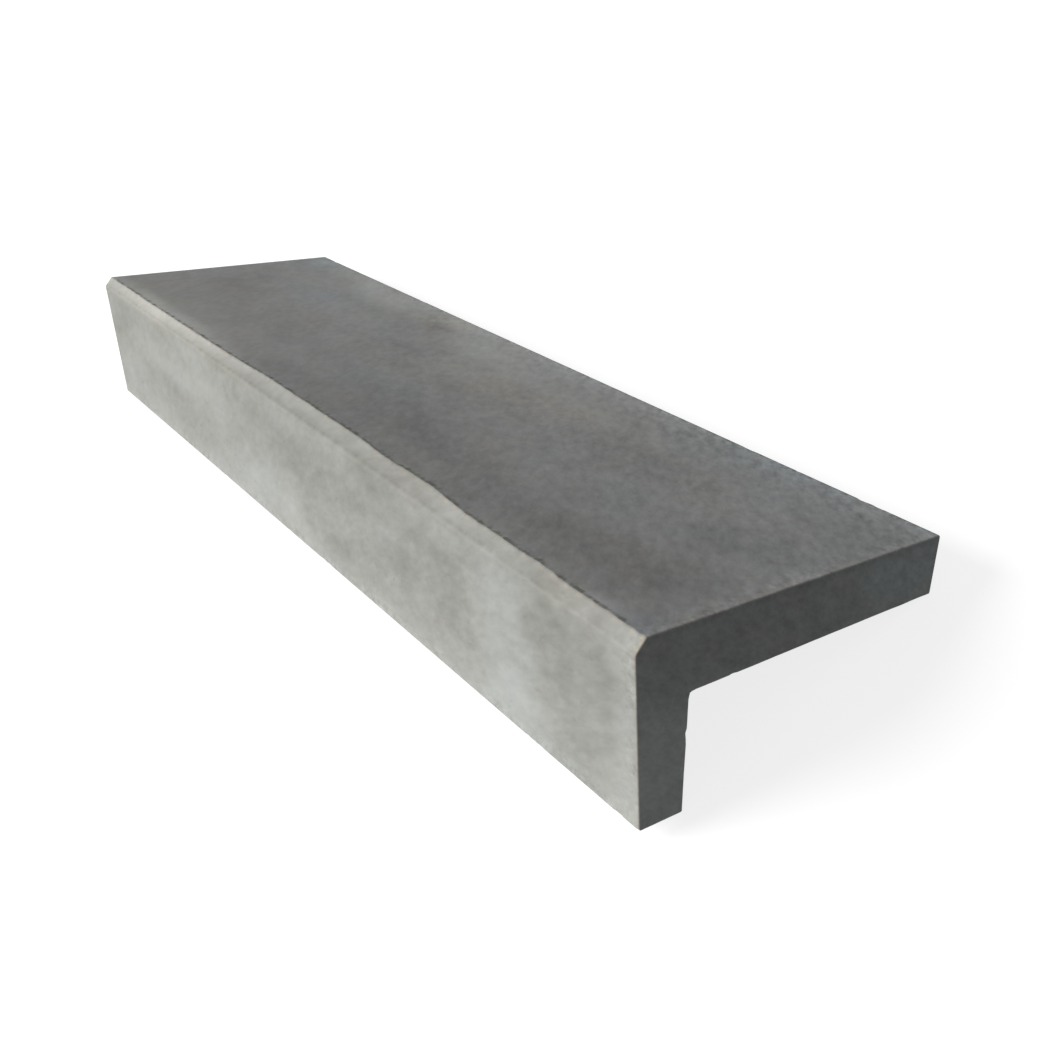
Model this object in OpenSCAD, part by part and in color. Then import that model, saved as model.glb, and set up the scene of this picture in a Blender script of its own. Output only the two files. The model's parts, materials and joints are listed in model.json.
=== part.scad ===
// L-shaped precast concrete step: a slab tread with a raked riser under its front edge, cast as one piece.
// Left to itself it does not stand on its narrow foot: it tips back until the rear edge of the tread
// meets the ground, so it is drawn as it rests, on the foot's back edge and the tread's lower back edge.

/* [Step] */
// Length of the step along its front edge
step_length = 1000; // [300:10:2000]
// Depth of the tread from the nosing to the back edge
step_depth = 300; // [240:5:420]
// Rise from the foot to the walking face
step_rise = 150; // [120:1:220]

/* [Tread] */
// Thickness of the tread at its back edge
tread_thickness = 50; // [35:1:70]
// Thickness of the tread where it meets the riser
tread_root_thickness = 54; // [35:1:75]

/* [Riser] */
// Thickness of the riser at the foot
foot_thickness = 39; // [25:1:60]
// Thickness of the riser where it meets the tread
riser_root_thickness = 46; // [30:1:65]
// How far the foot stands back behind the nosing
riser_rake = 19; // [0:1:40]

/* [Edges] */
// Depth of the bevel along the nosing, on the walking face
nosing_bevel_depth = 8; // [3:1:20]
// Height of the bevel along the nosing, on the front face
nosing_bevel_height = 10; // [3:1:20]
// Radius of the fillet between the tread and the riser
inner_fillet = 5; // [2:1:12]
// Radius of the soft arrises along the foot and the back edge
arris = 2; // [1:0.5:4]

/* [Hidden] */
$fn = 64;
// The slivers that round the corners reach this far past them
overlap = 0.5;
// Arcs are drawn this much larger, so that they cross the faces cleanly instead of only touching them
crossing = 0.002;

// Upright section, as [distance back from the nosing, height above the foot]
nosing_top = [nosing_bevel_depth, step_rise];
nosing_bottom = [0, step_rise - nosing_bevel_height];
foot_front = [riser_rake, 0];
foot_back = [riser_rake + foot_thickness, 0];
root_height = step_rise - tread_root_thickness;
root = [riser_rake * (1 - root_height / nosing_bottom[1]) + riser_root_thickness, root_height];
back_bottom = [step_depth, step_rise - tread_thickness];
back_top = [step_depth, step_rise];
section_corners = [nosing_top, nosing_bottom, foot_front, foot_back, root, back_bottom, back_top];

// The corners with a soft arris, each between the one before it and the one after it
soft_corners = [
    [nosing_bottom, foot_front, foot_back],
    [foot_front, foot_back, root],
    [root, back_bottom, back_top],
    [back_bottom, back_top, nosing_top]
];

function unit(v) = v / norm(v);
// Direction that halves the angle of a corner [before, corner, after]
function halving(c) = unit(unit(c[0] - c[1]) + unit(c[2] - c[1]));
// Half of that angle
function half_angle(c) = acos(halving(c) * unit(c[0] - c[1]));
// Centre of the arc of radius r that touches both sides of the corner, and its two touching points
function arc_centre(c, r) = c[1] + halving(c) * r / sin(half_angle(c));
function arc_start(c, r) = c[1] + unit(c[0] - c[1]) * r / tan(half_angle(c));
function arc_end(c, r) = c[1] + unit(c[2] - c[1]) * r / tan(half_angle(c));

// Resting pose: the arcs of the foot's back edge and of the tread's lower back edge touch one level line
arris_reach = arris + crossing;
foot_seat = arc_centre(soft_corners[1], arris);
back_seat = arc_centre(soft_corners[2], arris);
rest_tilt = atan2(back_seat[1] - foot_seat[1], back_seat[0] - foot_seat[0]);
function leaned(p) = [
    p[0] * cos(rest_tilt) + p[1] * sin(rest_tilt),
    p[1] * cos(rest_tilt) - p[0] * sin(rest_tilt)
];
ground = leaned(foot_seat)[1] - arris_reach;
leaned_centres = [for (c = soft_corners) leaned(arc_centre(c, arris))];
leaned_nosing = [leaned(nosing_top)[0], leaned(nosing_bottom)[0]];
front_reach = min(min([for (p = leaned_centres) p[0] - arris_reach]), min(leaned_nosing));
back_reach = max([for (p = leaned_centres) p[0] + arris_reach]);

// What lies between a corner and its arc
module corner_sliver(corner, radius) {
    difference() {
        polygon([
            corner[1] - halving(corner) * overlap,
            arc_start(corner, radius),
            arc_centre(corner, radius),
            arc_end(corner, radius)
        ]);
        translate(arc_centre(corner, radius))
        circle(r = radius + crossing);
    }
}

// Upright section with its arrises and its inner fillet
module section() {
    difference() {
        polygon(section_corners);
        for (corner = soft_corners)
            corner_sliver(corner, arris);
    }
    corner_sliver([foot_back, root, back_bottom], inner_fillet);
}

// The whole step, centred over the ground that it rests on
module step() {
    color([0.60, 0.61, 0.59])
    rotate([90, 0, 90])
    translate([-(front_reach + back_reach) / 2, -ground, -step_length / 2])
    linear_extrude(height = step_length)
    rotate(-rest_tilt)
    section();
}

step();
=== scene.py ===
"""L-shaped precast concrete step, resting tipped back on its foot and on its tread's rear edge.

The step is one dense mesh, swept along its length from the section and then worn inwards. Its hand-finished
nosing has a bevel that wanders, its arrises are soft and a little broken, its cast faces are faintly wavy and
its underside is rougher. One procedural concrete covers it, with broad stain patches placed one by one, some
of them painted light and shade. Lengths are in metres, unless a comment says otherwise.
"""

import json
import math

import bpy
import numpy as np
from mathutils import Matrix, Vector


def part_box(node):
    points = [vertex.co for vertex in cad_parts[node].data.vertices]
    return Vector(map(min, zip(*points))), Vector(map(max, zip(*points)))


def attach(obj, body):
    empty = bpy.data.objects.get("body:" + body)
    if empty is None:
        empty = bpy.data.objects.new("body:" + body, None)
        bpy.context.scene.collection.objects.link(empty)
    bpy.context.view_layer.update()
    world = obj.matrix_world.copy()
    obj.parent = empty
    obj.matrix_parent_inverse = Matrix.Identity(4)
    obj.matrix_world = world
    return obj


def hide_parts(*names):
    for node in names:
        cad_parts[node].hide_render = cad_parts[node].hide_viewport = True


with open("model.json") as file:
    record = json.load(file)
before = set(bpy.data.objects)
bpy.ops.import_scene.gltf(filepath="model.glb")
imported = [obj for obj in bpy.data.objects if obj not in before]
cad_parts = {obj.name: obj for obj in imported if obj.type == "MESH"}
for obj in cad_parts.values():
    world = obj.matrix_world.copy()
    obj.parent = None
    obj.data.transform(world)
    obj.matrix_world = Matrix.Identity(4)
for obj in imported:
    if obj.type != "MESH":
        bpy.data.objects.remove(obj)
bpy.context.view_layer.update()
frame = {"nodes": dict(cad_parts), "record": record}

MM = 0.001

# ---------------------------------------------------------------- sizes, as in the part's source

TREAD_THICKNESS = 50 * MM
TREAD_ROOT_THICKNESS = 54 * MM
FOOT_THICKNESS = 39 * MM
RISER_ROOT_THICKNESS = 46 * MM
RISER_RAKE = 19 * MM
BEVEL_DEPTH = 8 * MM
BEVEL_HEIGHT = 10 * MM
INNER_FILLET = 5 * MM
ARRIS = 2 * MM
END_ARRIS = 1.5 * MM

# ---------------------------------------------------------------- where the step rests


def resting_place(node):
    """From the step's square axes to its resting place, with the step's depth and rise. In the square axes x
    runs along the nosing, y back from it and z up from the foot."""
    mounts = {m["name"]: m for m in frame["record"]["mounts"]}
    up = Vector(mounts["walking_face"]["axis"]).normalized()
    back = Vector((0, up.z, -up.y))
    corners = np.array([v.co for v in node.data.vertices])
    along = corners @ np.array(back)
    above = corners @ np.array(up)
    origin = back * along.min() + up * above.min()
    square = Matrix((Vector((1, 0, 0)), back, up)).transposed().to_4x4()
    square.translation = origin
    return square, float(np.ptp(along)), float(np.ptp(above))


left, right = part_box("step")
LENGTH = right.x - left.x
REST, DEPTH, RISE = resting_place(frame["nodes"]["step"])
# How far the front leans back for each metre down, and the inner corner between the tread and the riser
LEAN = RISER_RAKE / (RISE - BEVEL_HEIGHT)
ROOT_Y = LEAN * (TREAD_ROOT_THICKNESS - BEVEL_HEIGHT) + RISER_ROOT_THICKNESS
ROOT_Z = RISE - TREAD_ROOT_THICKNESS

# ---------------------------------------------------------------- noise

TABLE_SIZE = 4096
CELL_PRIMES = np.array([73856093, 19349663, 83492791])


def noise(points, size, seed):
    """Smooth noise from -1 to 1, with hills about `size` apart."""
    table = np.random.RandomState(seed).uniform(-1, 1, TABLE_SIZE)
    scaled = points / size
    cell = np.floor(scaled).astype(np.int64)
    t = scaled - cell
    t = t * t * (3 - 2 * t)
    total = np.zeros(len(points))
    for corner in np.ndindex(2, 2, 2):
        key = (cell + corner) * CELL_PRIMES
        value = table[(key[:, 0] ^ key[:, 1] ^ key[:, 2]) % TABLE_SIZE]
        weight = np.where(corner, t, 1 - t).prod(1)
        total += value * weight
    return total


def rough_noise(points, size, seed, octaves=3):
    """Noise with finer noise on it, each octave half as large and half as strong."""
    parts = [noise(points, size / 2**k, seed + k) / 2**k for k in range(octaves)]
    return sum(parts) / (2 - 2.0 ** (1 - octaves))


def line_noise(x, size, seed, octaves=1):
    """Noise along the step alone."""
    return rough_noise(np.stack([x, 0 * x, 0 * x], 1), size, seed, octaves)


def smooth(value, low, high):
    """0 at the low value, 1 at the high one, and smoothly between."""
    t = np.clip((value - low) / (high - low), 0, 1)
    return t * t * (3 - 2 * t)


def nearness(gap, reach):
    """1 where there is no gap, fading to 0 where it is as wide as the reach."""
    return 1 - smooth(gap, 0, reach)


# ---------------------------------------------------------------- the section, swept along the step

LIP_RADIUS = 1.8 * MM
SILL_RADIUS = 5 * MM
# The ring's corners in order, each with its radius (negative where it is hollow) and its arc's pieces
CORNERS = [
    ("nosing_top", LIP_RADIUS, 4),
    ("back_top", ARRIS, 4),
    ("back_bottom", ARRIS, 4),
    ("root", -INNER_FILLET, 6),
    ("foot_back", ARRIS, 4),
    ("foot_front", ARRIS, 4),
    ("nosing_bottom", SILL_RADIUS, 4),
]
# What follows each corner: how many pieces, and how closely they crowd towards both ends
SIDES = [
    ("walking", 56, 0.9),
    ("back", 6, 0.5),
    ("under", 64, 0.8),
    ("riser_back", 30, 0.6),
    ("foot", 6, 0.4),
    ("front", 28, 0.9),
    ("bevel", 8, 0.4),
]
# The rings stand closer together near the ends
MIDDLE_STEP = 2.9 * MM
END_ZONE = 20 * MM
END_STEP = 1.25 * MM
END_ARC_PARTS = 3
# How fast an end's faces leave the direction of the foot and of the rear edge
CAP_EASE = 6
# How fast the look of the front and the top gives way to that of an end around its arris
END_EASE = 3

# The bevel's depth along the nosing, as (place along the step in metres, depth in millimetres)
BEVEL_STATIONS = [
    (-0.50, 8.3),
    (-0.35, 8.6),
    (-0.20, 10.4),
    (-0.115, 12.6),
    (-0.065, 15.2),
    (0.12, 15.8),
    (0.16, 13.6),
    (0.18, 13.6),
    (0.24, 15.2),
    (0.295, 10.5),
    (0.36, 10.2),
    (0.385, 10.9),
    (0.42, 8.9),
    (0.50, 8.4),
]
# How ragged the lip is, and how much the bevel's height wanders
RAGGEDNESS = 0.35 * MM
HEIGHT_WANDER = 0.5 * MM
# The lip is chipped where a noise rises above a level
LIP_CHIP = 2 * MM
LIP_CHIP_LEVEL = 0.5


def crowded(parts, crowd):
    """Shares from 0 up to 1, one for each part, closer together near both ends."""
    s = np.arange(parts) / parts
    return s - crowd * np.sin(2 * math.pi * s) / (2 * math.pi)


def stations():
    """Places along the step, from the left end's arris to the right end's."""
    half = LENGTH / 2 - END_ARRIS
    inner = half - END_ZONE
    near = np.arange(round(END_ZONE / END_STEP)) * END_STEP
    middle = np.linspace(-inner, inner, round(2 * inner / MIDDLE_STEP) + 1)
    return np.concatenate([-half + near, middle, half - near[::-1]])


def bevel_depth(x):
    """The bevel was struck by hand: widest in the middle, with a jog wherever the tool was set down again."""
    places, depths = zip(*BEVEL_STATIONS)
    ragged = RAGGEDNESS * line_noise(x, 13 * MM, 11, 3) + RAGGEDNESS * line_noise(x, 4 * MM, 12)
    chips = LIP_CHIP * np.clip(line_noise(x, 11 * MM, 13, 2) - LIP_CHIP_LEVEL, 0, 1)
    return np.maximum(np.interp(x, places, depths) * MM + ragged + chips, BEVEL_DEPTH)


def bevel_height(x):
    """The bevel's height on the front wanders a little too."""
    return BEVEL_HEIGHT + HEIGHT_WANDER * (1 + line_noise(x, 90 * MM, 17, 3))


def section_corners(depth, height):
    """The corners of the section as (y, z), from the nosing back along the walking face and round below."""
    return np.array([
        (depth, RISE),
        (DEPTH, RISE),
        (DEPTH, RISE - TREAD_THICKNESS),
        (ROOT_Y, ROOT_Z),
        (RISER_RAKE + FOOT_THICKNESS, 0),
        (RISER_RAKE, 0),
        (LEAN * (height - BEVEL_HEIGHT), RISE - height),
    ])


def moved_in(corners, inset):
    """The corners after every side has moved inwards."""
    along = np.roll(corners, -1, 0) - corners
    along /= np.linalg.norm(along, axis=1, keepdims=True)
    inward = np.stack([along[:, 1], -along[:, 0]], 1)
    before = np.roll(inward, 1, 0)
    return corners + inset * (inward + before) / (1 + (inward * before).sum(1, keepdims=True))


def corner_arc(before, corner, after, radius, parts):
    """The points that round a corner, from the side of `before` to the side of `after`."""
    u = (before - corner) / np.linalg.norm(before - corner)
    v = (after - corner) / np.linalg.norm(after - corner)
    half_angle = math.acos(u @ v) / 2
    centre = corner + (u + v) / np.linalg.norm(u + v) * radius / math.sin(half_angle)
    start = corner + u * radius / math.tan(half_angle) - centre
    end = corner + v * radius / math.tan(half_angle) - centre
    sweep = math.atan2(start[0] * end[1] - start[1] * end[0], start @ end)
    angles = np.linspace(0, sweep, parts + 1)[:, None]
    across = np.array([-start[1], start[0]])
    return centre + start * np.cos(angles) + across * np.sin(angles)


def section_ring(depth, height, inset=0.0):
    """The section's outline as a ring of points. With an inset, a hollow corner's radius grows and the others
    shrink."""
    corners = moved_in(section_corners(depth, height), inset)
    arcs = []
    for k, (_, radius, parts) in enumerate(CORNERS):
        before, corner, after = corners[k - 1], corners[k], corners[(k + 1) % len(corners)]
        arcs.append(corner_arc(before, corner, after, abs(radius - inset), parts))
    ring = []
    for k, (_, parts, crowd) in enumerate(SIDES):
        start, end = arcs[k][-1], arcs[(k + 1) % len(arcs)][0]
        ring += [arcs[k][:-1], start + (end - start) * crowded(parts, crowd)[:, None]]
    return np.concatenate(ring)


def ring_names():
    """What each point of a ring belongs to, and where each arc or side starts."""
    names = []
    starts = {}
    for corner, side in zip(CORNERS, SIDES):
        for name, parts in ((corner[0], corner[2]), (side[0], side[1])):
            starts[name] = len(names)
            names += [name] * parts
    return np.array(names, object), starts


def grid_faces(index, flip=False):
    """Quads over a grid of vertex numbers."""
    a, b, c, d = index[:-1, :-1], index[1:, :-1], index[1:, 1:], index[:-1, 1:]
    order = (a, d, c, b) if flip else (a, b, c, d)
    return np.stack([part.ravel() for part in order], 1)


def cap_grid(ring, ring_index, starts):
    """The L of one end, as a grid from the foot to the rear edge: the inner points, and the vertex numbers of
    the whole grid, where -1 stands for the inner points in their own order."""
    outer_ids = np.arange(starts["front"], len(ring) + starts["back_top"] + 1) % len(ring)
    inner_ids = np.arange(starts["foot_back"], starts["under"] - 1, -1)
    foot_ids = np.arange(starts["foot_back"], starts["front"] + 1)
    back_ids = np.arange(starts["under"], starts["back_top"] - 1, -1)
    outer, inner, foot, back = (ring[ids] for ids in (outer_ids, inner_ids, foot_ids, back_ids))
    reach = np.concatenate([[0], np.cumsum(np.linalg.norm(np.diff(back, axis=0), axis=1))])
    v = (reach / reach[-1])[None, :, None]
    u = np.linspace(0, 1, len(outer))[:, None, None]
    across = inner[:, None] * (1 - v) + outer[:, None] * v
    near_foot = (1 - u) ** CAP_EASE * (foot[None] - across[:1])
    near_back = u**CAP_EASE * (back[None] - across[-1:])
    points = across + near_foot + near_back
    index = np.full(points.shape[:2], -1)
    index[:, 0] = ring_index[inner_ids]
    index[:, -1] = ring_index[outer_ids]
    index[0] = ring_index[foot_ids]
    index[-1] = ring_index[back_ids]
    return points[1:-1, 1:-1].reshape(-1, 2), index


def swept_rows():
    """The section's rings from the left end to the right, each as (place, ring, how far it is on an end)."""
    x = stations()
    depth, height = bevel_depth(x), bevel_height(x)
    rows = [(place, section_ring(d, h), 0.0) for place, d, h in zip(x, depth, height)]
    for angle in np.linspace(0, math.pi / 2, END_ARC_PARTS + 1)[1:]:
        inset = END_ARRIS * (1 - math.cos(angle))
        beyond = END_ARRIS * math.sin(angle)
        on_end = math.sin(angle) ** END_EASE
        rows.insert(0, (x[0] - beyond, section_ring(depth[0], height[0], inset), on_end))
        rows.append((x[-1] + beyond, section_ring(depth[-1], height[-1], inset), on_end))
    return rows


def placed(x, outline):
    """The outline's (y, z) points, all at one place along the step."""
    return np.column_stack([np.full(len(outline), x), outline])


def step_surface():
    """The vertices in the step's square axes, the quads, and for each vertex the name of its stretch of the
    ring and how far it is on an end."""
    rows = swept_rows()
    names, starts = ring_names()
    count = len(names)
    points = np.concatenate([placed(x, ring) for x, ring, _ in rows])
    index = np.arange(len(points)).reshape(len(rows), count)
    stretch = np.tile(names, len(rows))
    end = np.repeat([on_end for _, _, on_end in rows], count)
    faces = [grid_faces(np.concatenate([index, index[:, :1]], 1))]
    for row, flip in ((0, True), (-1, False)):
        x, ring, _ = rows[row]
        inner, cap = cap_grid(ring, index[row], starts)
        cap[cap < 0] = len(points) + np.arange(len(inner))
        points = np.concatenate([points, placed(x, inner)])
        stretch = np.concatenate([stretch, np.full(len(inner), "end", object)])
        end = np.concatenate([end, np.ones(len(inner))])
        faces.append(grid_faces(cap, flip))
    return points, np.concatenate(faces), stretch, end


def vertex_normals(points, faces):
    """The outward normal at each vertex, weighted by the faces' sizes."""
    a, b, c, d = (points[faces[:, k]] for k in range(4))
    face = np.cross(c - a, d - b)
    normals = np.zeros_like(points)
    for k in range(4):
        np.add.at(normals, faces[:, k], face)
    return normals / np.linalg.norm(normals, axis=1, keepdims=True)


# ---------------------------------------------------------------- wear

FACE_WAVE = 0.12 * MM
CAST_ROUGHNESS = 0.35 * MM
# How close to an arris its break can reach
BREAK_REACH = 14 * MM
# A break's depth below zero cuts nothing
UNCUT = -1.0
# The long arrises, each between two flats: how far they are worn back, how deep their chips are, and how much
# further they are broken at the right end, in millimetres
LONG_ARRISES = [
    ("walking", "back", 0.7, 5, 0),
    ("back", "under", 1.0, 7, 0),
    ("riser_back", "foot", 1.0, 8, 0),
    ("foot", "front", 0.8, 4, 1.2),
]
# The arrises between an end and each flat: how far they are worn back and how deep their chips are
END_ARRISES = [
    ("walking", 0.4, 2),
    ("back", 0.6, 4),
    ("foot", 1.0, 6),
    ("front", 0.5, 5),
    ("inner", 1.0, 5),
]
# They are chipped where a noise rises above this level
CHIP_LEVEL = 0.25


def section_planes():
    """The step's flats, apart from the bevel, each as (outward normal, distance from the origin)."""
    root = np.array([0, ROOT_Y, ROOT_Z])
    rear = np.array([0, DEPTH, RISE - TREAD_THICKNESS])
    foot = np.array([0, RISER_RAKE + FOOT_THICKNESS, 0])
    along = np.array([1.0, 0, 0])

    def plane(normal, point):
        normal = normal / np.linalg.norm(normal)
        return normal, normal @ point

    return {
        "walking": plane(np.array([0, 0, 1.0]), np.array([0, 0, RISE])),
        "back": plane(np.array([0, 1.0, 0]), rear),
        "under": plane(np.cross(along, root - rear), rear),
        "riser_back": plane(np.cross(along, foot - root), root),
        "foot": plane(np.array([0, 0, -1.0]), foot),
        "front": plane(np.array([0, -1.0, -LEAN]), np.array([0, RISER_RAKE, 0])),
        "left": plane(-along, -along * LENGTH / 2),
        "right": plane(along, along * LENGTH / 2),
    }


def break_arris(points, start, first, second, depth):
    """Cuts the arris between two flats back to a sloping break, `depth` deep in all."""
    (n1, d1), (n2, d2) = first, second
    inside = (d1 - (start * n1).sum(1)) + (d2 - (start * n2).sum(1))
    both = n1 + n2
    size = np.linalg.norm(both * np.ones_like(start), axis=1)
    cut = np.clip(depth - inside, 0, None) / size
    points -= cut[:, None] * both / size[:, None]


def inner_flat(start, planes):
    """For each point, the flat of the inner corner that bounds the concrete there."""
    (n1, d1), (n2, d2) = planes["under"], planes["riser_back"]
    under = (d1 - start @ n1 > d2 - start @ n2)[:, None]
    return np.where(under, n1, n2), np.where(under[:, 0], d1, d2)


def wear(points, normals, stretch):
    """Moves the surface inwards: a faint waviness, a rougher underside, and breaks along the arrises."""
    rough = np.isin(stretch, ["under", "root", "riser_back"])
    wave = FACE_WAVE * (1 + rough_noise(points, 110 * MM, 3, 3))
    cast = CAST_ROUGHNESS * (1 + rough_noise(points, 22 * MM, 5, 4))
    points -= normals * np.where(rough, cast, wave)[:, None]

    start = points.copy()
    planes = section_planes()
    planes["inner"] = inner_flat(start, planes)
    teeth = 1 + 0.5 * noise(start, 6 * MM, 31) + 0.4 * noise(start, 3 * MM, 32)
    chips = np.clip(rough_noise(start, 15 * MM, 21, 3) - CHIP_LEVEL, 0, 1)
    at_right_end = smooth(start[:, 0], LENGTH / 2 - 7 * MM, LENGTH / 2 - 1 * MM)
    for first, second, worn, chip, end_break in LONG_ARRISES:
        (n1, d1), (n2, d2) = planes[first], planes[second]
        near = np.hypot(d1 - start @ n1, d2 - start @ n2) < BREAK_REACH
        depth = (worn * teeth + chip * chips) * MM + end_break * MM * at_right_end
        break_arris(points, start, planes[first], planes[second], np.where(near, depth, UNCUT))
    for end in ("left", "right"):
        for flat, worn, chip in END_ARRISES:
            break_arris(points, start, planes[end], planes[flat], (worn * teeth + chip * chips) * MM)


# ---------------------------------------------------------------- broad stain patches and painted light

# Each stain, and each patch of painted light and shade among them: its place along and across the face, how
# far it reaches along and across, all in metres, and how much paler (above zero) or darker it leaves the
# concrete.
# They go from left to right, the paler ones first.
# Across the front is up from the foot.
FRONT_STAINS_AND_PAINTED_LIGHT = [
    (-0.465, 0.048, 0.05, 0.035, 0.13),
    (-0.425, 0.062, 0.04, 0.020, 0.09),
    (-0.375, 0.025, 0.05, 0.022, 0.10),
    (-0.345, 0.092, 0.10, 0.022, 0.15),
    (-0.230, 0.126, 0.05, 0.014, 0.16),
    (-0.215, 0.092, 0.10, 0.030, 0.12),
    (-0.075, 0.035, 0.08, 0.032, 0.15),
    (-0.005, 0.028, 0.04, 0.026, 0.14),
    # These two are painted light: the front paler along its foot, as if lit from the floor.
    (0.000, 0.005, 1.20, 0.045, 0.13),
    (0.000, 0.000, 1.20, 0.016, 0.11),
    (0.025, 0.120, 0.03, 0.018, 0.08),
    (0.175, 0.038, 0.03, 0.020, 0.08),
    (0.300, 0.062, 0.035, 0.015, 0.08),
    (0.345, 0.065, 0.045, 0.080, 0.20),
    (0.345, 0.115, 0.03, 0.030, 0.06),
    (0.355, 0.022, 0.05, 0.035, 0.14),
    (0.420, 0.062, 0.05, 0.014, 0.08),
    (0.500, 0.060, 0.026, 0.200, 0.13),
    (-0.480, 0.082, 0.03, 0.020, -0.07),
    (-0.435, 0.108, 0.06, 0.026, -0.12),
    (-0.395, 0.025, 0.08, 0.020, -0.04),
    (-0.300, 0.134, 0.15, 0.010, -0.05),
    (-0.295, 0.065, 0.06, 0.012, -0.12),
    (-0.265, 0.040, 0.12, 0.022, -0.05),
    (-0.105, 0.078, 0.05, 0.018, -0.08),
    (-0.060, 0.108, 0.10, 0.026, -0.12),
    # This one is painted shade along the bevel's lower edge.
    (0.000, 0.140, 0.60, 0.005, -0.08),
    (0.000, 0.080, 0.035, 0.012, -0.15),
    (0.055, 0.095, 0.08, 0.040, -0.14),
    (0.075, 0.028, 0.03, 0.025, -0.07),
    (0.087, 0.033, 0.025, 0.014, -0.14),
    (0.130, 0.102, 0.04, 0.022, -0.10),
    (0.145, 0.030, 0.14, 0.050, -0.07),
    (0.174, 0.127, 0.05, 0.020, -0.22),
    (0.205, 0.075, 0.05, 0.020, -0.16),
    (0.245, 0.106, 0.055, 0.022, -0.18),
    (0.273, 0.067, 0.045, 0.035, -0.12),
    (0.380, 0.104, 0.022, 0.016, -0.16),
    (0.413, 0.090, 0.04, 0.045, -0.14),
    (0.420, 0.125, 0.04, 0.026, -0.14),
    (0.433, 0.033, 0.03, 0.030, -0.14),
    (0.470, 0.090, 0.03, 0.030, -0.09),
    (0.475, 0.118, 0.035, 0.030, -0.18),
]
# The bevel is painted paler along the lip, a painted highlight, most of all towards the left end. Across it
# is down from the lip.
BEVEL_PAINTED_HIGHLIGHT = [
    (-0.370, 0.002, 0.20, 0.016, 0.42),
    (-0.190, 0.002, 0.12, 0.012, 0.22),
    (0.000, 0.003, 0.16, 0.013, 0.20),
    (0.240, 0.003, 0.13, 0.010, 0.07),
]
# Across the walking face is back from the nosing.
WALKING_STAINS = [
    (-0.475, 0.284, 0.03, 0.022, 0.16),
    (-0.380, 0.225, 0.06, 0.030, 0.07),
    (-0.375, 0.282, 0.06, 0.025, 0.10),
    (-0.345, 0.280, 0.05, 0.030, 0.08),
    (-0.340, 0.012, 0.23, 0.018, 0.50),
    (-0.280, 0.262, 0.11, 0.032, 0.25),
    (-0.250, 0.030, 0.12, 0.022, 0.08),
    (-0.240, 0.190, 0.10, 0.040, 0.07),
    (-0.150, 0.294, 0.43, 0.042, 0.26),
    (-0.115, 0.285, 0.05, 0.022, 0.18),
    (-0.075, 0.258, 0.04, 0.025, 0.10),
    (-0.055, 0.250, 0.06, 0.034, 0.24),
    (0.000, 0.291, 1.20, 0.011, 0.08),
    (0.020, 0.190, 0.09, 0.030, 0.10),
    (0.030, 0.242, 0.10, 0.042, 0.20),
    (0.150, 0.230, 0.07, 0.036, 0.17),
    (0.390, 0.291, 0.12, 0.011, 0.05),
    (0.455, 0.010, 0.035, 0.014, 0.26),
    (-0.430, 0.175, 0.05, 0.025, -0.10),
    (-0.400, 0.125, 0.09, 0.040, -0.12),
    (-0.190, 0.100, 0.25, 0.035, -0.05),
    (-0.180, 0.280, 0.03, 0.018, -0.08),
    (-0.135, 0.257, 0.030, 0.016, -0.16),
    (-0.080, 0.185, 0.05, 0.016, -0.10),
    (-0.060, 0.040, 0.08, 0.024, -0.14),
    (0.025, 0.028, 0.04, 0.015, -0.08),
    (0.060, 0.090, 0.10, 0.035, -0.09),
    (0.105, 0.200, 0.04, 0.015, -0.06),
    (0.120, 0.022, 0.24, 0.016, -0.10),
    (0.130, 0.060, 0.16, 0.036, -0.18),
    (0.250, 0.282, 0.05, 0.022, -0.07),
    (0.290, 0.195, 0.08, 0.045, -0.12),
    (0.310, 0.140, 0.06, 0.025, -0.06),
    (0.350, 0.048, 0.16, 0.038, -0.17),
    (0.390, 0.092, 0.15, 0.050, -0.07),
    (0.425, 0.148, 0.05, 0.035, -0.08),
    (0.445, 0.078, 0.06, 0.034, -0.15),
    (0.445, 0.165, 0.06, 0.040, -0.10),
    (0.470, 0.240, 0.07, 0.060, -0.12),
    (0.550, 0.000, 1.10, 0.450, -0.16),
]
# Along an end is back from the nosing, and across it is up from the foot.
END_STAINS = [
    (0.012, 0.060, 0.018, 0.110, 0.09),
    (0.040, 0.040, 0.06, 0.085, 0.36),
    (0.255, 0.130, 0.045, 0.045, 0.20),
    (0.015, 0.122, 0.035, 0.035, -0.09),
    (0.045, 0.088, 0.020, 0.020, -0.12),
    (0.060, 0.100, 0.04, 0.025, -0.10),
    (0.140, 0.128, 0.16, 0.036, -0.20),
    (0.140, 0.104, 0.15, 0.012, -0.12),
]
# Each cast is given like a stain, with how much browner (above zero) or bluer it leaves the concrete. They go
# from left to right, the browner ones first.
FRONT_CASTS = [
    (-0.300, 0.140, 0.30, 0.016, 0.3),
    (-0.050, 0.040, 0.05, 0.040, -0.3),
    (0.100, 0.100, 0.30, 0.060, -0.2),
    (0.345, 0.070, 0.06, 0.160, -0.4),
]
WALKING_CASTS = [
    (-0.320, 0.040, 0.30, 0.080, 0.6),
    (-0.250, 0.142, 0.06, 0.030, 0.4),
    (-0.155, 0.262, 0.08, 0.050, 0.8),
    (-0.020, 0.225, 0.12, 0.050, 0.3),
    (0.070, 0.185, 0.10, 0.050, 0.8),
    (0.170, 0.215, 0.07, 0.040, 0.4),
    (-0.460, 0.285, 0.07, 0.060, -1.2),
    (-0.330, 0.205, 0.13, 0.045, -0.6),
    (0.020, 0.100, 0.12, 0.040, -0.3),
    (0.390, 0.290, 0.22, 0.060, -1.0),
    (0.410, 0.190, 0.20, 0.100, -0.3),
    (0.502, 0.014, 0.032, 0.020, -1.1),
]
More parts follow.
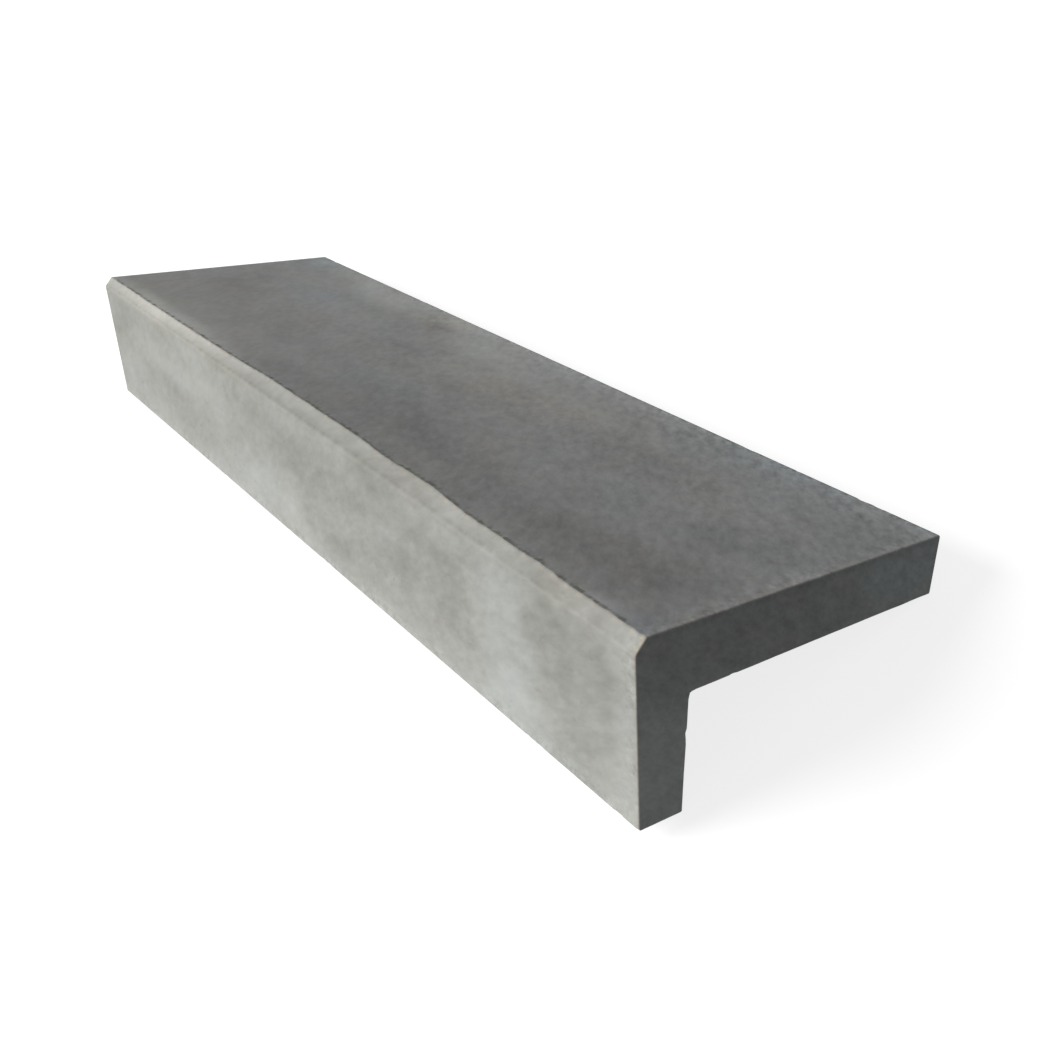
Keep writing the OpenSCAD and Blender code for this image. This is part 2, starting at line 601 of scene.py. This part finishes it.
END_CASTS = [
    (0.015, 0.120, 0.03, 0.060, 0.5),
    (0.275, 0.128, 0.06, 0.050, -0.7),
]
# The outlines of the stain patches and of the painted light drift about by so much
DRIFT_ALONG = 18 * MM
DRIFT_ACROSS = 8 * MM
BEVEL_DRIFT = 1 * MM
# They fade out where they are so many times their reach away
FADE_OUT = 1.25


def placed_marks(along, across, listed_marks, drift=DRIFT_ACROSS):
    """How much each listed patch of stain, painted light and shade, or cast changes each place on a face."""
    flat = np.stack([along, across, 0 * along], 1)
    along = along + DRIFT_ALONG * rough_noise(flat, 70 * MM, 41)
    across = across + drift * rough_noise(flat, 40 * MM, 42)
    tone = 0 * along
    for x, y, reach_x, reach_y, amount in listed_marks:
        away = np.hypot((along - x) / reach_x, (across - y) / reach_y)
        tone += amount * nearness(away, FADE_OUT)
    return tone


# ---------------------------------------------------------------- the mesh


def crumbling(*edges):
    """How crumbly the concrete is near several edges, each given as (how crumbly it is, distance, reach)."""
    return np.maximum.reduce([most * nearness(gap, reach) for most, gap, reach in edges])


def surface_marks(square, stretch, end):
    """What the material needs to know at each vertex: which kind of face it is on, how far it is from the
    edges in millimetres, how crumbly it is, its tone from stain patches and painted light and shade, and how
    brown (above zero) or blue."""
    x, y, z = square.T
    behind_lip = y > bevel_depth(x)
    walking = np.isin(stretch, ["walking", "nosing_top", "back_top"]) & behind_lip
    formed = np.isin(stretch, ["front", "bevel", "nosing_bottom", "nosing_top", "foot_front"]) & ~walking
    hidden = ~formed & ~walking & (stretch != "end")
    from_lip = np.hypot(y - bevel_depth(x), z - RISE)
    end_gap = LENGTH / 2 - np.abs(x)
    walking_crumbs = crumbling((0.8, from_lip, 14 * MM), (1.2, end_gap, 18 * MM), (2.2, DEPTH - y, 16 * MM))
    front_crumbs = crumbling((0.4, from_lip, 10 * MM), (0.9, end_gap, 24 * MM), (1.1, z, 18 * MM))
    crumbs = np.where(walking, walking_crumbs, front_crumbs)
    # The front's tone holds its stain patches, painted light along its foot, painted shade along the bevel's
    # lower edge and a painted highlight along the lip.
    front_tone = placed_marks(x, z, FRONT_STAINS_AND_PAINTED_LIGHT) + placed_marks(x, from_lip, BEVEL_PAINTED_HIGHLIGHT, BEVEL_DRIFT)
    tone = np.where(formed, front_tone, placed_marks(x, y, WALKING_STAINS))
    cast = np.where(formed, placed_marks(x, z, FRONT_CASTS), placed_marks(x, y, WALKING_CASTS))
    return {
        "walking": walking,
        "hidden": hidden,
        "end": end,
        "lip": np.where(walking, from_lip, -from_lip) / MM,
        "sill": (RISE - bevel_height(x) - z) / MM,
        "end_gap": end_gap / MM,
        "crumbs": crumbs * (1 - end) + crumbling((0.5, RISE - z, 8 * MM)) * end,
        "tone": np.where(hidden, 0, tone) * (1 - end) + placed_marks(y, z, END_STAINS) * end,
        "cast": np.where(hidden, 0, cast) * (1 - end) + placed_marks(y, z, END_CASTS) * end,
    }


def build_step():
    """The whole step as one piece, with the marks that its material reads."""
    square, faces, stretch, end = step_surface()
    points = square.copy()
    wear(points, vertex_normals(square, faces), stretch)
    mesh = bpy.data.meshes.new("step_cast")
    mesh.from_pydata([REST @ Vector(p) for p in points], [], faces.tolist())
    mesh.shade_smooth()
    for name, value in surface_marks(square, stretch, end).items():
        layer = mesh.attributes.new(name, "FLOAT", "POINT")
        layer.data.foreach_set("value", np.asarray(value, np.float32))
    layer = mesh.attributes.new("square", "FLOAT_VECTOR", "POINT")
    layer.data.foreach_set("vector", square.astype(np.float32).ravel())
    piece = bpy.data.objects.new("step_cast", mesh)
    bpy.context.scene.collection.objects.link(piece)
    return piece


# ---------------------------------------------------------------- nodes


class Nodes:
    """A material's nodes, each added by one short call."""

    def __init__(self, name):
        self.material = bpy.data.materials.new(name)
        self.material.use_nodes = True
        self.tree = self.material.node_tree
        self.shader = self.tree.nodes["Principled BSDF"]

    def add(self, kind, inputs, **settings):
        node = self.tree.nodes.new(kind)
        for key, value in settings.items():
            setattr(node, key, value)
        for key, value in inputs.items():
            self.feed(node.inputs[key], value)
        return node

    def feed(self, socket, value):
        if isinstance(value, bpy.types.NodeSocket):
            self.tree.links.new(value, socket)
        else:
            socket.default_value = value

    def value(self, name):
        """One of the mesh's marks."""
        return self.add("ShaderNodeAttribute", {}, attribute_name=name).outputs["Fac"]

    def place(self, name):
        """The vertices' own places, before they were worn and laid down to rest."""
        return self.add("ShaderNodeAttribute", {}, attribute_name=name).outputs["Vector"]

    def noise(self, where, size, detail, roughness, distortion=0.0):
        settings = {
            "Vector": where,
            "Scale": 1 / size,
            "Detail": detail,
            "Roughness": roughness,
            "Distortion": distortion,
        }
        return self.add("ShaderNodeTexNoise", settings).outputs["Fac"]

    def shifted(self, where, x=0.0, y=0.0, z=0.0, turn=(0.0, 0.0, 0.0), stretch=(1.0, 1.0, 1.0)):
        """The place, moved along, so that a pattern read there is drawn out along its turned axes."""
        settings = {"Vector": where, "Location": (x, y, z), "Rotation": turn, "Scale": stretch}
        return self.add("ShaderNodeMapping", settings, vector_type="TEXTURE").outputs["Vector"]

    def along(self, where, x):
        """The place along the step alone, moved along."""
        settings = {"Vector": where, "Location": (x, 0, 0), "Scale": (1, 0, 0)}
        return self.add("ShaderNodeMapping", settings).outputs["Vector"]

    def math(self, operation, first, second, third=0.0):
        node = self.add("ShaderNodeMath", {}, operation=operation)
        for socket, value in zip(node.inputs, (first, second, third)):
            self.feed(socket, value)
        return node.outputs[0]

    def product(self, first, *others):
        """All the values multiplied."""
        for other in others:
            first = self.math("MULTIPLY", first, other)
        return first

    def swayed(self, value, noise_value, amount):
        """The value, moved up or down by a noise, each way by half the amount at most."""
        return self.math("MULTIPLY_ADD", self.math("SUBTRACT", noise_value, 0.5), amount, value)

    def span(self, value, low, high, out_low=0.0, out_high=1.0):
        """Goes smoothly from one number to another while the value goes from low to high."""
        settings = {
            "Value": value,
            "From Min": low,
            "From Max": high,
            "To Min": out_low,
            "To Max": out_high,
        }
        node = self.add("ShaderNodeMapRange", settings, interpolation_type="SMOOTHSTEP")
        return node.outputs["Result"]

    def mix(self, amount, first, second, blend="MIX"):
        node = self.add("ShaderNodeMix", {}, data_type="RGBA", blend_type=blend)
        self.feed(node.inputs["Factor"], amount)
        self.feed(node.inputs[6], first)
        self.feed(node.inputs[7], second)
        return node.outputs[2]

    def tinted(self, colour, tint, amount):
        """The colour, multiplied by the tint where the amount is 1."""
        return self.mix(amount, colour, tint, "MULTIPLY")

    def scaled(self, colour, factor):
        """The colour times a factor."""
        node = self.add("ShaderNodeVectorMath", {}, operation="SCALE")
        self.feed(node.inputs[0], colour)
        self.feed(node.inputs["Scale"], factor)
        return node.outputs[0]


def srgb(red, green, blue):
    """A colour given as it looks on a screen, 0 to 255, as the linear colour that shaders take."""
    channels = [c / 255 for c in (red, green, blue)]
    return tuple(c / 12.92 if c <= 0.04045 else ((c + 0.055) / 1.055) ** 2.4 for c in channels) + (1.0,)


# ---------------------------------------------------------------- concrete

# How far apart the hills of each noise are
CLOUD_SIZE = 130 * MM
WARMTH_SIZE = 85 * MM
GREEN_SIZE = 65 * MM
PATCH_SIZE = 30 * MM
CLUSTER_SIZE = 22 * MM
BREAK_SIZE = 18 * MM
SMUDGE_SIZE = 9 * MM
MOTTLE_SIZE = 8 * MM
SPECK_SIZE = 7 * MM
CRUMB_SIZE = 6 * MM
GRAIN_SIZE = 3.5 * MM
SAND_SIZE = 1.6 * MM

# How many times longer than wide the patterns are
CLOUD_STRETCH = 1.4
FRONT_STRETCH = 2.0
SMUDGE_STRETCH = 1.7
TROWEL_STRETCH = 1.7
END_STRETCH = 1.8

# How far the patches and the finer mottle are turned from the step's length, or on the ends from its depth
FRONT_PATCH_TURN = math.radians(-25)
FRONT_TURN = math.radians(-32)
TROWEL_PATCH_TURN = math.radians(-32)
TROWEL_TURN = math.radians(-45)
END_TURN = math.radians(-30)

# How strongly each noise shows on each kind of face
FRONT_SHARES = {"cloud": 0.12, "patch": 0.38, "mottle": 0.44, "grain": 0.08, "sand": 0.02}
WALKING_SHARES = {"cloud": 0.12, "patch": 0.30, "mottle": 0.54, "grain": 0.22, "sand": 0.03}
END_SHARES = {"cloud": 0.15, "patch": 0.45, "mottle": 0.80, "grain": 0.70, "sand": 0.10}
HIDDEN_SHARES = {"cloud": 0.30, "patch": 0.40, "mottle": 0.70, "grain": 0.60, "sand": 0.30}

# The colours that each kind of face goes between, from where it is darkest to where it is palest
FRONT_COLOURS = (srgb(152.5, 152, 145.5), srgb(151.7, 152.7, 148))
WALKING_COLOURS = (srgb(150, 150, 149), srgb(149.5, 150.8, 148.8))
# The ends' colours are darker than the other faces' partly as painted shade.
END_COLOURS_WITH_PAINTED_SHADE = (srgb(109, 111.5, 110.5), srgb(108.5, 112.5, 111))
HIDDEN_COLOURS = (srgb(142, 142, 138), srgb(142, 142, 138))
# The shades at which the first and the second of them are reached
DARKEST = 0.75
PALEST = 1.3

# How far each kind of face wanders between brownish and bluish, and how greenish it gets in places
FRONT_WANDER = (1.3, 0.2)
WALKING_WANDER = (3.0, 0.55)
END_WANDER = (4.0, 0.4)
HIDDEN_WANDER = (3.0, 0.6)
CAST_STRENGTH = 0.04

# What marks multiply the concrete's colour by
GREEN_TINT = (0.98, 1.01, 0.975, 1)
BEVEL_WARMTH = (1.01, 0.995, 0.99, 1)
LIP_CREAM = (1.18, 1.05, 0.96, 1)
# Painted shade just below the lip, where the bevel turns over
LIP_PAINTED_SHADE = (0.86, 0.86, 0.85, 1)
# Painted shade along the bevel's lower edge
CREASE_PAINTED_SHADE = (0.87, 0.87, 0.86, 1)
SMUDGE_SHADE = (0.92, 0.91, 0.91, 1)
FRONT_RIM_WARMTH = (1.05, 0.99, 0.95, 1)
BEVEL_RIM_CREAM = (1.12, 1.10, 1.00, 1)
REAR_SHADE = (0.70, 0.78, 0.80, 1)
END_TOP_SHADE = (0.82, 0.82, 0.83, 1)
# The colours that marks on the walking face fade into
LIP_LINE_COLOUR = srgb(92, 93, 86)
WALKING_RIM_COLOUR = srgb(168, 164, 156)

SPECULAR = 0.3
ROUGHNESS = 0.82
ROUGHNESS_SWAY = 0.2
SAND_BUMP = {"Strength": 0.12, "Distance": 0.25 * MM}
GRAIN_BUMP = {"Strength": 0.25, "Distance": 0.5 * MM}


class Concrete(Nodes):
    """What all faces of the step share in its one material. Distances from edges are in millimetres here."""

    def __init__(self):
        super().__init__("cast_concrete")
        self.where = self.place("square")
        self.x, self.y, self.z = self.add("ShaderNodeSeparateXYZ", {"Vector": self.where}).outputs
        self.lip = self.value("lip")
        self.sill = self.value("sill")
        self.end_gap = self.value("end_gap")
        # each noise is read at a place of its own, so that no two are alike
        self.sand = self.texture(SAND_SIZE, 2.0, 0.6, x=1.0)
        self.cloud = self.texture(CLOUD_SIZE, 4.0, 0.55, 0.5, y=5.0, stretch=(CLOUD_STRETCH, 1, 1))
        self.warmth = self.texture(WARMTH_SIZE, 5.0, 0.72, z=6.0)
        self.green = self.texture(GREEN_SIZE, 4.0, 0.6, z=7.0)
        self.crumb = self.texture(CRUMB_SIZE, 3.5, 0.72, y=2.0)
        cluster = self.texture(CLUSTER_SIZE, 2.0, 0.55, y=3.0)
        self.crumb_share = self.product(self.value("crumbs"), self.span(cluster, 0.38, 0.62, 0.4, 1.6))
        self.break_up = self.noise(self.along(self.where, 8.0), BREAK_SIZE, 4.0, 0.7)
        self.specks = self.noise(self.along(self.where, 9.0), SPECK_SIZE, 3.0, 0.7)
        # the concrete is grittier towards the right end
        self.grit = self.span(self.x, -LENGTH / 2, LENGTH / 2, 0.5, 0.95)

    def texture(self, size, detail, roughness, distortion=0.0, **shift):
        """Noise over the whole step, read at a shifted place."""
        return self.noise(self.shifted(self.where, **shift), size, detail, roughness, distortion)

    def mottled(self, patch_turn, turn, stretch, grit):
        """Patches, a mottle and a finer grain, drawn out one way. The finer two are as strong as the grit."""
        pattern = {"patch": self.texture(PATCH_SIZE, 4.0, 0.6, 0.4, x=4.0, turn=patch_turn, stretch=stretch)}
        for name, size, start in (("mottle", MOTTLE_SIZE, 3.0), ("grain", GRAIN_SIZE, 2.0)):
            noise_value = self.texture(size, 2.5, 0.5, x=start, turn=turn, stretch=stretch)
            pattern[name] = self.swayed(0.5, noise_value, grit)
        return pattern

    def shaded(self, colours, pattern, shares, crumbly=True):
        """A shade between two colours, to which the stain patches with their painted light and shade add, and
        each noise adds up to half its share.
        """
        shade = self.math("ADD", self.value("tone"), 1.0)
        for name, noise_value in {"cloud": self.cloud, **pattern, "sand": self.sand}.items():
            shade = self.swayed(shade, noise_value, shares[name])
        if crumbly:
            shade = self.swayed(shade, self.crumb, self.crumb_share)
        return self.scaled(self.mix(self.span(shade, DARKEST, PALEST), *colours), shade)

    def wandering(self, colour, swing, greenness):
        """The colour, with faintly brownish, bluish and greenish places."""
        cast = self.swayed(self.value("cast"), self.warmth, swing)
        red = self.math("MULTIPLY_ADD", cast, CAST_STRENGTH, 1.0)
        blue = self.math("MULTIPLY_ADD", cast, -CAST_STRENGTH, 1.0)
        tint = self.add("ShaderNodeCombineColor", {"Red": red, "Green": 1.0, "Blue": blue}).outputs["Color"]
        colour = self.tinted(colour, tint, 1.0)
        return self.tinted(colour, GREEN_TINT, self.span(self.green, 0.50, 0.68, 0, greenness))


def front_pattern(c):
    """The formed faces' patches, mottle and grain."""
    return c.mottled((0, FRONT_PATCH_TURN, 0), (0, FRONT_TURN, 0), (FRONT_STRETCH, 1, 1), c.grit)


def walking_pattern(c):
    """The walking face's: it gets grittier towards the rear edge and the ends."""
    grit = c.span(c.y, 0.0, DEPTH - 40 * MM, 0.75, 1.1)
    grit = c.math("ADD", grit, c.span(c.y, DEPTH - 55 * MM, DEPTH - 15 * MM, 0.0, 0.8))
    grit = c.math("ADD", grit, c.span(c.end_gap, 25.0, 6.0, 0.0, 0.6))
    turns = ((0, 0, TROWEL_PATCH_TURN), (0, 0, TROWEL_TURN))
    return c.mottled(*turns, (TROWEL_STRETCH, 1, 1), c.product(c.grit, grit))


def end_pattern(c):
    """The ends', which the hidden faces share."""
    return c.mottled((END_TURN, 0, 0), (END_TURN, 0, 0), (1, END_STRETCH, 1), c.grit)


def rubbed_and_shaded_lip(c, front, grain):
    """Makes the bevel warmer, with creamy specks along its lip and a thin painted shade where it turns over.
    """
    front = c.tinted(front, BEVEL_WARMTH, c.span(c.lip, -22.0, -8.0))
    cream = c.product(c.span(c.swayed(c.lip, grain, 5.0), -4.6, -2.0), c.span(c.specks, 0.50, 0.62))
    front = c.tinted(front, LIP_CREAM, cream)
    # painted shade along the lip's turn
    return c.tinted(front, LIP_PAINTED_SHADE, c.span(c.lip, -2.2, -0.6))


def shaded_at_sill(c, front):
    """Draws the broken dark line where the bevel meets the front, a painted shade along the bevel's lower
    edge.
    """
    band = c.product(c.span(c.sill, -3.4, -2.0), c.span(c.sill, 0.4, -1.2))
    return c.tinted(front, CREASE_PAINTED_SHADE, c.product(band, c.span(c.break_up, 0.42, 0.62)))


def smudged(c, front):
    """Adds faint darker smudges."""
    smudge = c.texture(SMUDGE_SIZE, 3.0, 0.6, z=9.0, turn=(0, FRONT_TURN, 0), stretch=(SMUDGE_STRETCH, 1, 1))
    return c.tinted(front, SMUDGE_SHADE, c.span(smudge, 0.62, 0.72))


def front_rims(c, front, mottle):
    """Makes the front's end edges warmer, and the bevel's creamy."""
    gap = c.swayed(c.end_gap, mottle, 4.0)
    front = c.tinted(front, FRONT_RIM_WARMTH, c.span(gap, 3.0, 1.0))
    bevel_rim = c.product(c.span(gap, 6.0, 2.0), c.span(c.lip, -16.0, -7.0))
    return c.tinted(front, BEVEL_RIM_CREAM, bevel_rim)


def formed_face(c, pattern):
    """The front and the bevel: pale and cloudy."""
    front = c.shaded(FRONT_COLOURS, pattern, FRONT_SHARES)
    front = rubbed_and_shaded_lip(c, front, pattern["grain"])
    front = smudged(c, shaded_at_sill(c, front))
    return front_rims(c, front, pattern["mottle"])


def lip_line(c):
    """How dark the ragged, broken line behind the lip is. It stops short of the ends."""
    gap = c.swayed(c.swayed(c.lip, c.crumb, 5.0), c.break_up, 9.0)
    line = c.product(c.span(gap, 4.2, 1.4), c.span(c.break_up, 0.62, 0.42, 0.1, 0.85))
    return c.product(line, c.span(c.specks, 0.38, 0.56, 0.6, 1.0), c.span(c.end_gap, 12.0, 24.0))


def rear_line(c, grain):
    """How dark the broken line along the rear edge is."""
    gap = c.math("MULTIPLY_ADD", c.y, -1 / MM, DEPTH / MM)
    return c.product(c.span(c.swayed(gap, grain, 6.0), 4.0, 1.5), c.span(c.break_up, 0.35, 0.6, 0.3, 0.9))


def walking_face(c, pattern):
    """The trowelled face: darker than the front, with dark lines along its lip and rear, and paler rims at
    its ends."""
    walking = c.shaded(WALKING_COLOURS, pattern, WALKING_SHARES)
    walking = c.mix(lip_line(c), walking, LIP_LINE_COLOUR)
    rim = c.span(c.swayed(c.end_gap, pattern["mottle"], 9.0), 6.5, 1.0, 0, 0.25)
    walking = c.mix(rim, walking, WALKING_RIM_COLOUR)
    return c.tinted(walking, REAR_SHADE, rear_line(c, pattern["grain"]))


def end_face(c, pattern):
    """The ends: darkest, partly as painted shade, and darker still just below the walking face."""
    end = c.shaded(END_COLOURS_WITH_PAINTED_SHADE, pattern, END_SHARES)
    return c.tinted(end, END_TOP_SHADE, c.span(c.z, RISE - 8 * MM, RISE - 2.5 * MM))


def hidden_face(c, pattern):
    """The underside, the back of the riser, the foot and the rear edge: rough and plain."""
    return c.shaded(HIDDEN_COLOURS, pattern, HIDDEN_SHARES, crumbly=False)


def cast_concrete():
    """The step's material, with a colour of its own for each kind of face."""
    c = Concrete()
    front, walking, end = front_pattern(c), walking_pattern(c), end_pattern(c)
    formed = c.wandering(formed_face(c, front), *FRONT_WANDER)
    colour = c.mix(c.value("hidden"), formed, c.wandering(hidden_face(c, end), *HIDDEN_WANDER))
    colour = c.mix(c.value("walking"), colour, c.wandering(walking_face(c, walking), *WALKING_WANDER))
    colour = c.mix(c.value("end"), colour, c.wandering(end_face(c, end), *END_WANDER))
    c.feed(c.shader.inputs["Base Color"], colour)
    c.feed(c.shader.inputs["Roughness"], c.swayed(ROUGHNESS, end["mottle"], ROUGHNESS_SWAY))
    c.shader.inputs["Specular IOR Level"].default_value = SPECULAR

    fine = c.add("ShaderNodeBump", {"Height": c.sand, **SAND_BUMP}).outputs["Normal"]
    relief = c.add("ShaderNodeBump", {"Height": front["grain"], "Normal": fine, **GRAIN_BUMP})
    c.feed(c.shader.inputs["Normal"], relief.outputs["Normal"])
    return c.material


# ---------------------------------------------------------------- stage

# The camera's place and aim are in the step's square axes. Its lens and sensor are in millimetres, and its
# shift is a share of the frame.
CAMERA_PLACE = Vector((0.9704, -0.4474, 0.526))
CAMERA_AIM = Vector((0.0, 0.2811, 0.0798))
CAMERA_ROLL = math.radians(3.23)
CAMERA_LENS = 41.5
CAMERA_SHIFT = -0.1
SENSOR_WIDTH = 36

LIGHT_FROM = Vector((-0.50, -0.66, 0.56))
SUN_STRENGTH = 3.6
SUN_BREADTH = math.radians(35)
SKY_STRENGTH = 0.3
BACKDROP_STRENGTH = 1.0
WHITE = (1, 1, 1, 1)

FLOOR_SIZE = 40.0
FLOOR_DROP = 0.1 * MM
FLOOR_GREY = (0.35, 0.35, 0.35, 1)
FLOOR_GLOW = 0.78
FLOOR_ROUGHNESS = 0.9
FLOOR_SPECULAR = 0.1


def pale_floor():
    """A white floor, lit a little from within so that the step's shadow on it stays faint. It sends no light
    back up, as if the step stood well clear of it, so that the step's ends stay dark."""
    half = FLOOR_SIZE / 2
    corners = [(-half, -half, 0), (half, -half, 0), (half, half, 0), (-half, half, 0)]
    mesh = bpy.data.meshes.new("floor")
    mesh.from_pydata(corners, [], [(0, 1, 2, 3)])
    floor = bpy.data.objects.new("floor", mesh)
    floor.location.z = -FLOOR_DROP
    floor.visible_diffuse = False
    bpy.context.scene.collection.objects.link(floor)
    n = Nodes("pale_floor")
    n.shader.inputs["Base Color"].default_value = FLOOR_GREY
    n.shader.inputs["Roughness"].default_value = FLOOR_ROUGHNESS
    n.shader.inputs["Specular IOR Level"].default_value = FLOOR_SPECULAR
    n.shader.inputs["Emission Color"].default_value = WHITE
    n.shader.inputs["Emission Strength"].default_value = FLOOR_GLOW
    mesh.materials.append(n.material)


def studio_light():
    """A broad lamp from the front left and a faint even sky, which looks white behind the step."""
    world = bpy.data.worlds.new("studio")
    bpy.context.scene.world = world
    world.use_nodes = True
    nodes, links = world.node_tree.nodes, world.node_tree.links
    seen = nodes.new("ShaderNodeLightPath").outputs["Is Camera Ray"]
    strength = nodes.new("ShaderNodeMapRange")
    strength.inputs["To Min"].default_value = SKY_STRENGTH
    strength.inputs["To Max"].default_value = BACKDROP_STRENGTH
    links.new(seen, strength.inputs["Value"])
    nodes["Background"].inputs["Color"].default_value = WHITE
    links.new(strength.outputs["Result"], nodes["Background"].inputs["Strength"])
    lamp = bpy.data.lights.new("key", "SUN")
    lamp.energy = SUN_STRENGTH
    lamp.angle = SUN_BREADTH
    key = bpy.data.objects.new("key", lamp)
    key.rotation_euler = LIGHT_FROM.to_track_quat("Z", "Y").to_euler()
    bpy.context.scene.collection.objects.link(key)


def photo_camera():
    """Looks at the step from its front right, as from eye height, and leans with it as it rests. In the
    photograph the uprights lean together less than an unshifted lens shows them, so the lens is shifted."""
    lens = bpy.data.cameras.new("camera")
    lens.lens = CAMERA_LENS
    lens.shift_y = CAMERA_SHIFT
    lens.sensor_width = SENSOR_WIDTH
    camera = bpy.data.objects.new("camera", lens)
    view = (CAMERA_PLACE - CAMERA_AIM).to_track_quat("Z", "Y").to_matrix().to_4x4()
    roll = Matrix.Rotation(CAMERA_ROLL, 4, "Z")
    camera.matrix_world = REST @ Matrix.Translation(CAMERA_PLACE) @ view @ roll
    bpy.context.scene.collection.objects.link(camera)
    bpy.context.scene.camera = camera


# ---------------------------------------------------------------- the scene

photo_camera()
studio_light()
pale_floor()
step = build_step()
step.data.materials.append(cast_concrete())
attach(step, "root")
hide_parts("step")
bpy.context.scene.view_settings.view_transform = "Standard"
